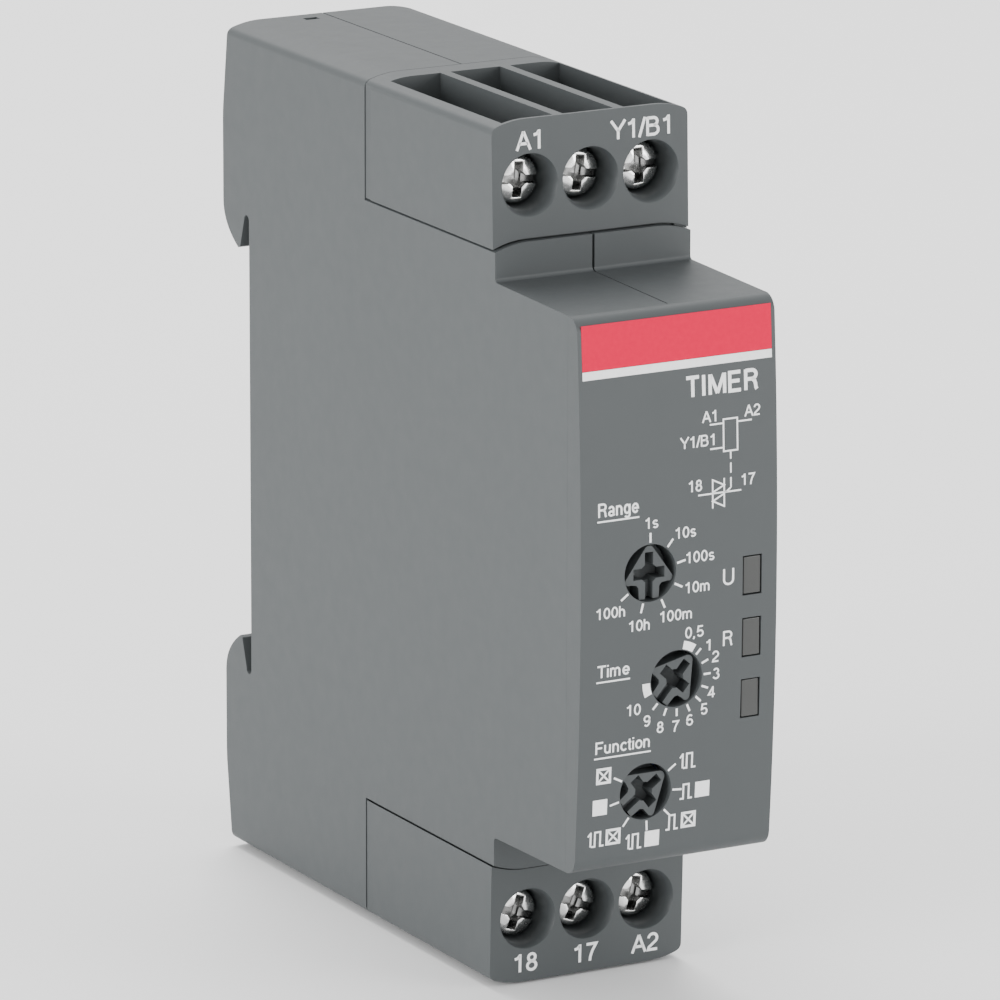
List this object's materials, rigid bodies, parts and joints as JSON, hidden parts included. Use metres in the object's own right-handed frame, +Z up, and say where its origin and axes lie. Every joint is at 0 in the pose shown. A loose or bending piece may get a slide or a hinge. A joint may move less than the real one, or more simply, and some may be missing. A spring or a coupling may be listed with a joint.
{
  "type": "din rail timer",
  "caption": "One-module electronic timer for 35 mm rail with three setting knobs, three indicator windows and six captive screw terminals.",
  "frame": {"origin": "centre of the rail seat, on the plane that lies against the rail, at half height and half width", "axes": "+Z up along the height, -Y out of the front with the knobs, +X to the right seen from the front"},
  "size_m": [0.0176, 0.0601, 0.07],
  "materials": {
    "grey_plastic": "fine spark-eroded texture, glass-filled polyamide",
    "knob_plastic": "moulded, slightly rough",
    "window_plastic": "smooth smoked translucent",
    "nickel": "bright nickel plate",
    "zinc_steel": "zinc plated",
    "spring_steel": "drawn wire",
    "board": "solder resist",
    "component_black": "moulded epoxy",
    "component_blue": "moulded",
    "component_sleeve": "shrink sleeve",
    "led": "clear epoxy"
  },
  "bodies": {
    "case": {"housing_left": "grey_plastic", "housing_right": "grey_plastic", "front_plate": "grey_plastic", "indicator_window_upper": "window_plastic", "indicator_window_middle": "window_plastic", "indicator_window_lower": "window_plastic", "terminal_cap_top": "grey_plastic", "terminal_cap_bottom": "grey_plastic", "contact_bar_top_left": "nickel", "contact_bar_top_middle": "nickel", "contact_bar_top_right": "nickel", "contact_bar_bottom_left": "nickel", "contact_bar_bottom_middle": "nickel", "contact_bar_bottom_right": "nickel", "range_switch_body": "component_blue", "time_potentiometer_body": "component_blue", "function_switch_body": "component_blue", "main_board": "board", "front_board": "board", "board_header": "component_black", "led_supply": "led", "led_output": "led", "film_capacitor": "component_blue", "bridge_rectifier": "component_black", "microcontroller": "component_black", "output_triac": "component_black", "supply_capacitor": "component_sleeve", "power_resistor": "component_sleeve", "varistor": "component_blue", "latch_spring": "spring_steel"},
    "range_knob": {"range_knob": "knob_plastic"},
    "time_knob": {"time_knob": "knob_plastic"},
    "function_knob": {"function_knob": "knob_plastic"},
    "terminal_screw_top_left": {"terminal_screw_top_left": "nickel"},
    "clamp_cage_top_left": {"clamp_cage_top_left": "zinc_steel"},
    "terminal_screw_top_middle": {"terminal_screw_top_middle": "nickel"},
    "clamp_cage_top_middle": {"clamp_cage_top_middle": "zinc_steel"},
    "terminal_screw_top_right": {"terminal_screw_top_right": "nickel"},
    "clamp_cage_top_right": {"clamp_cage_top_right": "zinc_steel"},
    "terminal_screw_bottom_left": {"terminal_screw_bottom_left": "nickel"},
    "clamp_cage_bottom_left": {"clamp_cage_bottom_left": "zinc_steel"},
    "terminal_screw_bottom_middle": {"terminal_screw_bottom_middle": "nickel"},
    "clamp_cage_bottom_middle": {"clamp_cage_bottom_middle": "zinc_steel"},
    "terminal_screw_bottom_right": {"terminal_screw_bottom_right": "nickel"},
    "clamp_cage_bottom_right": {"clamp_cage_bottom_right": "zinc_steel"},
    "rail_latch": {"rail_latch": "grey_plastic"}
  },
  "joints": [
    {"name": "range_turn", "type": "hinge", "parent": "case", "child": "range_knob", "pos_m": [-0.0026, -0.0533, 0.0016], "axis": [0, 1, 0], "range_deg": [0, 234]},
    {"name": "time_turn", "type": "hinge", "parent": "case", "child": "time_knob", "pos_m": [-0.00015, -0.0533, -0.0072], "axis": [0, 1, 0], "range_deg": [-16, 213]},
    {"name": "function_turn", "type": "hinge", "parent": "case", "child": "function_knob", "pos_m": [-0.00265, -0.0533, -0.01605], "axis": [0, 1, 0], "range_deg": [0, 243]},
    {"name": "screw_turn_top_left", "type": "hinge", "parent": "case", "child": "terminal_screw_top_left", "pos_m": [-0.0054, -0.0376, 0.0298], "axis": [0, 1, 0], "range_deg": [0, 1620]},
    {"name": "cage_slide_top_left", "type": "slide", "parent": "case", "child": "clamp_cage_top_left", "axis": [0, -1, 0], "range_m": [0, 0.00225]},
    {"name": "screw_turn_top_middle", "type": "hinge", "parent": "case", "child": "terminal_screw_top_middle", "pos_m": [0, -0.0376, 0.0298], "axis": [0, 1, 0], "range_deg": [0, 1620]},
    {"name": "cage_slide_top_middle", "type": "slide", "parent": "case", "child": "clamp_cage_top_middle", "axis": [0, -1, 0], "range_m": [0, 0.00225]},
    {"name": "screw_turn_top_right", "type": "hinge", "parent": "case", "child": "terminal_screw_top_right", "pos_m": [0.0054, -0.0376, 0.0298], "axis": [0, 1, 0], "range_deg": [0, 1620]},
    {"name": "cage_slide_top_right", "type": "slide", "parent": "case", "child": "clamp_cage_top_right", "axis": [0, -1, 0], "range_m": [0, 0.00225]},
    {"name": "screw_turn_bottom_left", "type": "hinge", "parent": "case", "child": "terminal_screw_bottom_left", "pos_m": [-0.0054, -0.0376, -0.0298], "axis": [0, 1, 0], "range_deg": [0, 1620]},
    {"name": "cage_slide_bottom_left", "type": "slide", "parent": "case", "child": "clamp_cage_bottom_left", "axis": [0, -1, 0], "range_m": [0, 0.00225]},
    {"name": "screw_turn_bottom_middle", "type": "hinge", "parent": "case", "child": "terminal_screw_bottom_middle", "pos_m": [0, -0.0376, -0.0298], "axis": [0, 1, 0], "range_deg": [0, 1620]},
    {"name": "cage_slide_bottom_middle", "type": "slide", "parent": "case", "child": "clamp_cage_bottom_middle", "axis": [0, -1, 0], "range_m": [0, 0.00225]},
    {"name": "screw_turn_bottom_right", "type": "hinge", "parent": "case", "child": "terminal_screw_bottom_right", "pos_m": [0.0054, -0.0376, -0.0298], "axis": [0, 1, 0], "range_deg": [0, 1620]},
    {"name": "cage_slide_bottom_right", "type": "slide", "parent": "case", "child": "clamp_cage_bottom_right", "axis": [0, -1, 0], "range_m": [0, 0.00225]},
    {"name": "latch_slide", "type": "slide", "parent": "case", "child": "rail_latch", "axis": [0, 0, -1], "range_m": [0, 0.0028], "stiffness_N_per_m": 300, "deforming": ["latch_spring"]}
  ],
  "couplings": [
    {"joint": "screw_turn_top_left", "follows": "cage_slide_top_left", "rad_per_m": 12566},
    {"joint": "screw_turn_top_middle", "follows": "cage_slide_top_middle", "rad_per_m": 12566},
    {"joint": "screw_turn_top_right", "follows": "cage_slide_top_right", "rad_per_m": 12566},
    {"joint": "screw_turn_bottom_left", "follows": "cage_slide_bottom_left", "rad_per_m": 12566},
    {"joint": "screw_turn_bottom_middle", "follows": "cage_slide_bottom_middle", "rad_per_m": 12566},
    {"joint": "screw_turn_bottom_right", "follows": "cage_slide_bottom_right", "rad_per_m": 12566}
  ]
}
